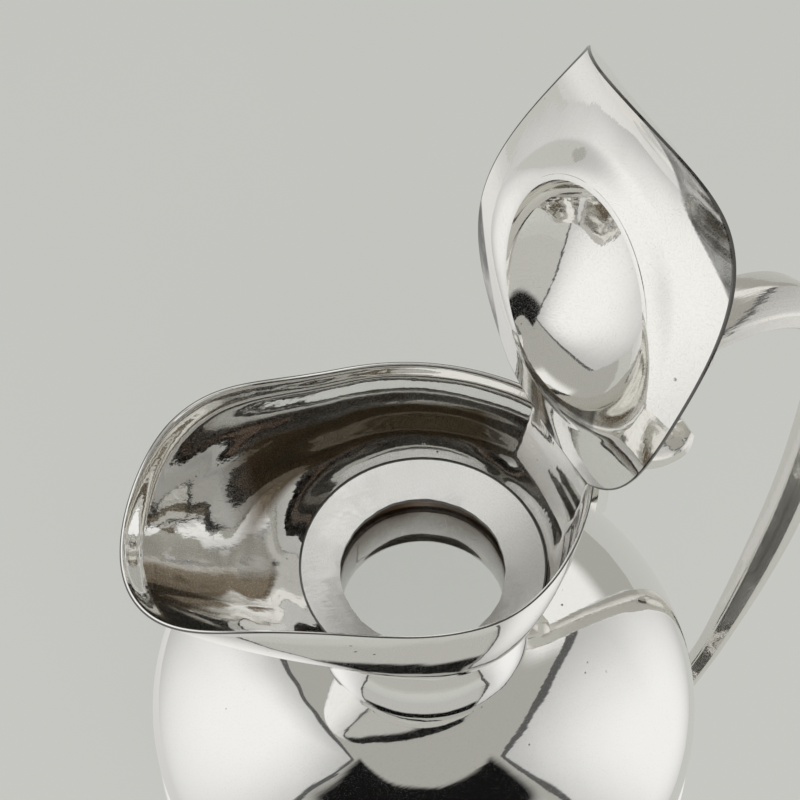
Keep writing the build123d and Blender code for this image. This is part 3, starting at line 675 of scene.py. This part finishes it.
def strap(name, line):
    """Six-sided strap along a line, with narrow flats along its edges, closed at both ends."""
    path = smooth_line(line, 16)
    along = np.gradient(path[:, :2], axis=0)
    along /= np.linalg.norm(along, axis=1, keepdims=True)
    across = np.stack([-along[:, 1], along[:, 0]], 1)
    half_width, half_depth = path[:, 2] / 2, path[:, 3] / 2
    flat = half_depth * strap_side
    corner = [(0, 1, 0), (-1, 0, 1), (-1, 0, -1), (0, -1, 0), (1, 0, -1), (1, 0, 1)]
    corners = [np.stack([side * half_width, ridge * half_depth + edge * flat], 1)
               for side, ridge, edge in corner]
    ring = []
    for before, here, after in zip(corners[-1:] + corners[:-1], corners, corners[1:] + corners[:1]):
        for other, share, blunt in ((before, 0.10, 0.0), (before, 0.03, corner_blunt),
                                    (after, 0.03, corner_blunt), (after, 0.10, 0.0)):
            point = here + (other - here) * share
            ring.append(point * (1 - blunt / np.linalg.norm(here, axis=1, keepdims=True)))
    ring = np.stack(ring, 1)
    rows = np.stack([
        path[:, None, 0] + across[:, None, 0] * ring[..., 1],
        ring[..., 0],
        ring_height + path[:, None, 1] + across[:, None, 1] * ring[..., 1],
    ], -1)
    centre = rows.mean(1, keepdims=True)
    caps = [centre[:1] + (rows[:1] - centre[:1]) * k for k in (0.02, 0.5, 0.9)]
    ends = [centre[-1:] + (rows[-1:] - centre[-1:]) * k for k in (0.9, 0.5, 0.02)]
    return mesh_piece(name, np.concatenate(caps + [rows] + ends), False, True, "jug", 20)


handle_silver = silver("handle_silver", waves=(50.0, 0.12), scratch=0.04, dull=0.35, bloom=0.22,
                       tint=(0.86, 0.84, 0.80))
handle = strap("handle_strap", handle_line)
finish_piece(handle, handle_silver, "silver_plate", "handle")
scroll = strap("handle_scroll_end", scroll_line)
finish_piece(scroll, handle_silver, "silver_plate", "handle_scroll")

# Bead and socket
# A turned bead hangs under the handle's arch, and an oval socket joins the handle's end to the base cup.
# Both are cast and soldered on.
bead_x = 59.0 * MM
bead_level = ring_height + 34.6 * MM
bead_radius = 3.0 * MM
bead_stem = 1.4 * MM
stem_top = bead_level + 7.5 * MM
turn = np.linspace(-math.pi / 2 + 0.02, math.acos(bead_stem / bead_radius), 40)
outline = np.stack([bead_radius * np.cos(turn), bead_level + bead_radius * np.sin(turn)], 1)
outline = np.concatenate([outline, [[bead_stem, stem_top], [0.2 * MM, stem_top]]])
bead = turned("handle_bead_turned", outline, steps=64)
bead.data.transform(Matrix.Translation((bead_x, 0, 0)))
finish_piece(bead, handle_silver, "silver_plate", "handle_bead")

end_x, end_level = 48.5 * MM, ring_height - 159.0 * MM
root_across, root_high = 5.3 * MM, 3.5 * MM
spread_across, spread_high = 1.7 * MM, 5.5 * MM
turn = np.linspace(0, 2 * math.pi, 48, endpoint=False)
rows = []
for share in np.linspace(0, 1, 16):
    y = (root_across + spread_across * share) * np.cos(turn)
    z = (root_high + spread_high * share) * np.sin(turn)
    wall = belly_at(end_level + z, -seat)
    wall = np.sqrt(np.maximum(wall**2 - y**2, 0))
    x = end_x + (np.minimum(wall, end_x - 0.2 * MM) - end_x) * share
    rows.append(np.stack([x, y, end_level + z], -1))
rows = np.array(rows)
front, back = [row.mean(0) + (row - row.mean(0)) * 0.02 for row in (rows[0], rows[-1])]
socket = mesh_piece("handle_socket_cast", np.concatenate([front[None], rows, back[None]]), False, True, "jug")
finish_piece(socket, handle_silver, "silver_plate", "handle_socket")

# Base cup and foot
# The glass sits in a silver cup on a short stem and a spread foot, spun from sheet.
# A wire runs around the foot, and the jug stands on its flattened underside.
levels = np.linspace(base_edge, base_floor, 60)
outside = np.stack([belly_at(levels), levels], 1)
levels = np.linspace(base_edge, base_floor + silver_sheet, 60)
inside = np.stack([belly_at(levels, silver_sheet), levels], 1)
middle = [[axis_gap, base_floor], [axis_gap, base_floor + silver_sheet]]
base = turned("base_cup_spun", np.concatenate([outside, middle, inside[::-1]]))
finish_piece(base, shoulder_silver, "silver_plate", "base_cup")

stem_radius, stem_height = 13.0 * MM, 23.0 * MM
foot_radius, foot_rim, foot_sheet = 37.5 * MM, 5.0 * MM, 1.2 * MM
cap = belly_at(base_floor) - silver_sheet


def foot_curve(start, end, start_way, end_way, count):
    """Curve between two outline points that leaves and arrives in given directions."""
    length = math.dist(start, end)
    ways = [np.array(way) / math.hypot(*way) * length for way in (start_way, end_way)]
    return hermite(start, end, ways[0], ways[1], count)


inner_stem = stem_radius - foot_sheet
outline = np.concatenate([
    [[axis_gap, base_floor]],
    foot_curve((cap, base_floor), (stem_radius, stem_height), (-1, -0.4), (0, -1), 30)[:-1],
    foot_curve((stem_radius, stem_height), (foot_radius, foot_rim), (0, -1), (1, -0.25), 40),
    [[foot_radius, seat], [foot_radius - foot_sheet, seat]],
    foot_curve((foot_radius - foot_sheet, foot_rim - foot_sheet), (inner_stem, stem_height - 2 * foot_sheet),
               (-1, 0.25), (0, 1), 40),
    [[axis_gap, stem_height]],
])
foot = turned("foot_spun", outline)
finish_piece(foot, shoulder_silver, "silver_plate", "foot")

wire_radius = 1.8 * MM
turn = np.linspace(-math.pi / 3, math.pi / 2, 24)
wire = np.stack([foot_radius + seat + wire_radius * np.cos(turn), wire_radius * (1 + np.sin(turn))], 1)
corner = [[foot_radius + seat, 2 * wire_radius], [foot_radius + seat, 0.0],
          [foot_radius + seat + wire_radius / 2, 0.0]]
foot_wire = turned("foot_wire_drawn", np.concatenate([wire, corner]))
finish_piece(foot_wire, shoulder_silver, "silver_plate", "foot_wire")

# Hinge and handle bracket
# Two leaves whose knuckles turn on a pin, and the bracket between the cup and the handle.
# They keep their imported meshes, with the finish of the cup and of the handle.
for name in ("hinge_pin", "cup_hinge", "lid_hinge", "handle_bracket"):
    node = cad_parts[name]
    node.data.materials.clear()
    node.data.materials.append(handle_silver if name == "handle_bracket" else cup_silver)

# Floor, studio and camera
# A plain pale floor under two soft boxes left and right of the view, with a white card behind, a front lamp
# that only dull surfaces see, and a dark front. The camera looks steeply down into the cup.
backdrop_tone = (0.533, 0.539, 0.51, 1)
floor_half = 6.0


def studio_sheet(name, corners):
    """Flat sheet of the studio, one face through its corners."""
    mesh = bpy.data.meshes.new(name)
    mesh.from_pydata([tuple(corner) for corner in corners], [], [tuple(range(len(corners)))])
    sheet = bpy.data.objects.new(name, mesh)
    bpy.context.scene.collection.objects.link(sheet)
    return sheet


def dress(sheet, made, join, surface):
    """Ends a material with a surface in place of its own shader, and gives it to a sheet."""
    output = next(node for node in made.node_tree.nodes if node.type == "OUTPUT_MATERIAL")
    join(surface, output.inputs["Surface"])
    sheet.data.materials.append(made)


floor = studio_sheet("floor", [(-floor_half, -floor_half, 0), (floor_half, -floor_half, 0),
                               (floor_half, floor_half, 0), (-floor_half, floor_half, 0)])
floor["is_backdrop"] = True
paper, shader, add, join = material("floor_paper")
shader.inputs["Base Color"].default_value = backdrop_tone
shader.inputs["Roughness"].default_value = 0.9
rays = add("ShaderNodeLightPath")
seen = add("ShaderNodeMath", {0: rays.outputs["Is Camera Ray"], 1: rays.outputs["Is Glossy Ray"]},
           operation="MAXIMUM")
through = add("ShaderNodeMath", {0: seen.outputs["Value"], 1: rays.outputs["Is Transmission Ray"]},
              operation="MAXIMUM")
glow = add("ShaderNodeEmission", {"Color": backdrop_tone, "Strength": 1.08})
mixed = add("ShaderNodeMixShader", {0: times(add, through.outputs["Value"], 0.85), 1: shader.outputs["BSDF"],
                                    2: glow.outputs["Emission"]})
dress(floor, paper, join, mixed.outputs["Shader"])

camera_yaw = math.radians(-24.21)
camera_pitch = math.radians(-54.51)
camera_roll = math.radians(-1.29)
box_distance = 0.25
box_width = 0.36
box_front = 0.82
box_far = 0.38
lift = 0.002
cloth_tone = (1.0, 0.995, 0.98, 1)
for name, turn, seam, tops in (("soft_box_right", camera_yaw, (0.035, 1.1), (box_front, box_far)),
                               ("soft_box_left", camera_yaw + math.pi, (-0.1, 0.965), (box_far, box_front))):
    outward = np.array([math.cos(turn), math.sin(turn), 0.0])
    sideways = np.array([-math.sin(turn), math.cos(turn), 0.0])
    corners = [outward * box_distance + sideways * box_width * side + (0, 0, level)
               for side, level in ((-0.5, lift), (-0.5, tops[0]), (0.5, tops[1]), (0.5, lift))]
    screen = studio_sheet(name, corners)
    screen.data.uv_layers.new(name="UVMap")
    screen.data.uv_layers[0].data.foreach_set("uv", [0, 0, 0, 1, 1, 1, 1, 0])
    screen.visible_camera = False
    screen.visible_shadow = False
    screen.visible_transmission = False
    screen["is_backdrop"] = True
    cloth, shader, add, join = material(name + "_cloth")
    uv = add("ShaderNodeTexCoord").outputs["UV"]
    split = add("ShaderNodeSeparateXYZ", {"Vector": uv})
    seam_line = band(add, split.outputs["X"], *seam, 0.008)
    top_line = band(add, split.outputs["Y"], -0.1, 0.945, 0.006)
    middle = add("ShaderNodeVectorMath", {0: uv, 1: (0.5, 0.42, 0.0)}, operation="DISTANCE")
    fade = add("ShaderNodeMapRange", {"Value": middle.outputs["Value"], "From Min": 0.1, "From Max": 0.65,
                                      "To Min": 0.93, "To Max": 0.52}, interpolation_type="SMOOTHSTEP")
    strength = times(add, times(add, seam_line, top_line), fade.outputs["Result"])
    least = add("ShaderNodeMath", {0: strength, 1: 0.10}, operation="MAXIMUM")
    light = add("ShaderNodeEmission", {"Color": cloth_tone, "Strength": least.outputs["Value"]})
    dress(screen, cloth, join, light.outputs["Emission"])

card_level = 0.003
card_outline = [(-0.31, -0.07), (-0.09, -0.05), (-0.085, 0.04), (-0.03, 0.085), (0.05, 0.09), (0.20, 1.0),
                (-0.60, 1.0)]
card = studio_sheet("white_card", [(x, y, card_level) for x, y in card_outline])
card.visible_camera = False
card.visible_shadow = False
card.visible_diffuse = False
card.visible_transmission = False
card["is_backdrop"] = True
cloth, shader, add, join = material("card_white")
place = add("ShaderNodeTexCoord").outputs["Generated"]
middle = add("ShaderNodeVectorMath", {0: place, 1: (0.5, 0.5, 0.0)}, operation="DISTANCE")
fade = add("ShaderNodeMapRange", {"Value": middle.outputs["Value"], "From Min": 0.35, "From Max": 0.70,
                                  "To Min": 0.88, "To Max": 0.62}, interpolation_type="SMOOTHSTEP")
light = add("ShaderNodeEmission", {"Color": (1.0, 0.99, 0.965, 1), "Strength": fade.outputs["Result"]})
dress(card, cloth, join, light.outputs["Emission"])

# The front lamp lights only what is dull, such as the worn ring; the polished silver doesn't mirror it.
lamp_distance = 1.0
lamp_half = 0.2
lamp_turn, lamp_rise = math.radians(-100), math.radians(50)
lamp_way = np.array([math.cos(lamp_turn) * math.cos(lamp_rise), math.sin(lamp_turn) * math.cos(lamp_rise),
                     math.sin(lamp_rise)])
lamp_side = np.array([-math.sin(lamp_turn), math.cos(lamp_turn), 0.0]) * lamp_half
lamp_up = np.cross(lamp_way, lamp_side)
corners = [lamp_way * lamp_distance + lamp_side * a + lamp_up * b + (0, 0, ring_height)
           for a, b in ((-1, -1), (-1, 1), (1, 1), (1, -1))]
lamp = studio_sheet("front_lamp", corners)
lamp.visible_camera = False
lamp.visible_glossy = False
lamp.visible_transmission = False
lamp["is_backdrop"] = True
cloth, shader, add, join = material("lamp_cloth")
light = add("ShaderNodeEmission", {"Color": cloth_tone, "Strength": 15.0})
dress(lamp, cloth, join, light.outputs["Emission"])

world = bpy.data.worlds.new("studio")
bpy.context.scene.world = world
world.use_nodes = True
tree = world.node_tree
back = tree.nodes["Background"]
where = tree.nodes.new("ShaderNodeTexCoord")
split = tree.nodes.new("ShaderNodeSeparateXYZ")
tree.links.new(where.outputs["Generated"], split.inputs["Vector"])


def plug(socket, value):
    """Gives a socket of the world a number, a colour or what another socket holds."""
    if isinstance(value, bpy.types.NodeSocket):
        tree.links.new(value, socket)
    else:
        socket.default_value = value


def sum_node(kind, first, second):
    """Result of a sum in the world, of two sockets or numbers."""
    node = tree.nodes.new("ShaderNodeMath")
    node.operation = kind
    for socket, value in zip(node.inputs, (first, second)):
        plug(socket, value)
    return node.outputs["Value"]


def soft_step(value, low, high):
    """Smooth step of the world from 0 at low to 1 at high."""
    node = tree.nodes.new("ShaderNodeMapRange")
    node.interpolation_type = "SMOOTHSTEP"
    plug(node.inputs["Value"], value)
    plug(node.inputs["From Min"], low)
    plug(node.inputs["From Max"], high)
    return node.outputs["Result"]


def turned_past(low, high):
    """0 before one direction around the jug and 1 past another, in degrees from +X."""
    return soft_step(azimuth, math.radians(low), math.radians(high))


def risen_past(low, high):
    """0 under one elevation and 1 over another, in degrees."""
    return soft_step(height, math.sin(math.radians(low)), math.sin(math.radians(high)))


def world_mix(factor, first, second):
    """Blend of two colours of the world."""
    node = tree.nodes.new("ShaderNodeMix")
    node.data_type = "RGBA"
    for key, value in (("Factor", factor), ("A", first), ("B", second)):
        plug(node.inputs[key], value)
    return node.outputs["Result"]


azimuth = sum_node("ARCTAN2", split.outputs["Y"], split.outputs["X"])
height = split.outputs["Z"]
front = sum_node("MULTIPLY", turned_past(-172, -166), sum_node("SUBTRACT", 1.0, turned_past(-64, -57)))
front = sum_node("MULTIPLY", front, sum_node("SUBTRACT", 1.0, risen_past(67.5, 69)))
rear = sum_node("MULTIPLY", turned_past(0, 12), sum_node("SUBTRACT", 1.0, turned_past(88, 104)))
rear_band = sum_node("MULTIPLY", risen_past(18, 26), sum_node("SUBTRACT", 1.0, risen_past(54, 64)))
rear = sum_node("MULTIPLY", rear, rear_band)
front_tone = world_mix(risen_past(42, 50), (0.50, 0.495, 0.47, 1), (0.006, 0.006, 0.006, 1))
tone = world_mix(front, (0.40, 0.395, 0.365, 1), front_tone)
plug(back.inputs["Color"], world_mix(rear, tone, (0.86, 0.855, 0.83, 1)))
back.inputs["Strength"].default_value = 1.0

lens = bpy.data.cameras.new("camera")
lens.sensor_width = 36.0
focal_pixels, picture_pixels = 1500, 800
lens.lens = focal_pixels / picture_pixels * lens.sensor_width
camera = bpy.data.objects.new("camera", lens)
bpy.context.scene.collection.objects.link(camera)
bpy.context.scene.camera = camera
view = np.array([-math.sin(camera_yaw) * math.cos(camera_pitch),
                 math.cos(camera_yaw) * math.cos(camera_pitch), math.sin(camera_pitch)])
right = np.array([math.cos(camera_yaw), math.sin(camera_yaw), 0.0])
up = np.cross(right, view)
turned_right = math.cos(camera_roll) * right + math.sin(camera_roll) * up
turned_up = -math.sin(camera_roll) * right + math.cos(camera_roll) * up
camera.matrix_world = Matrix([
    (turned_right[0], turned_up[0], -view[0], -64.92 * MM),
    (turned_right[1], turned_up[1], -view[1], -134.89 * MM),
    (turned_right[2], turned_up[2], -view[2], 266.31 * MM + ring_height),
    (0, 0, 0, 1),
])
lens.clip_start = 0.01

bpy.context.scene.view_settings.view_transform = "Standard"

low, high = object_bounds()
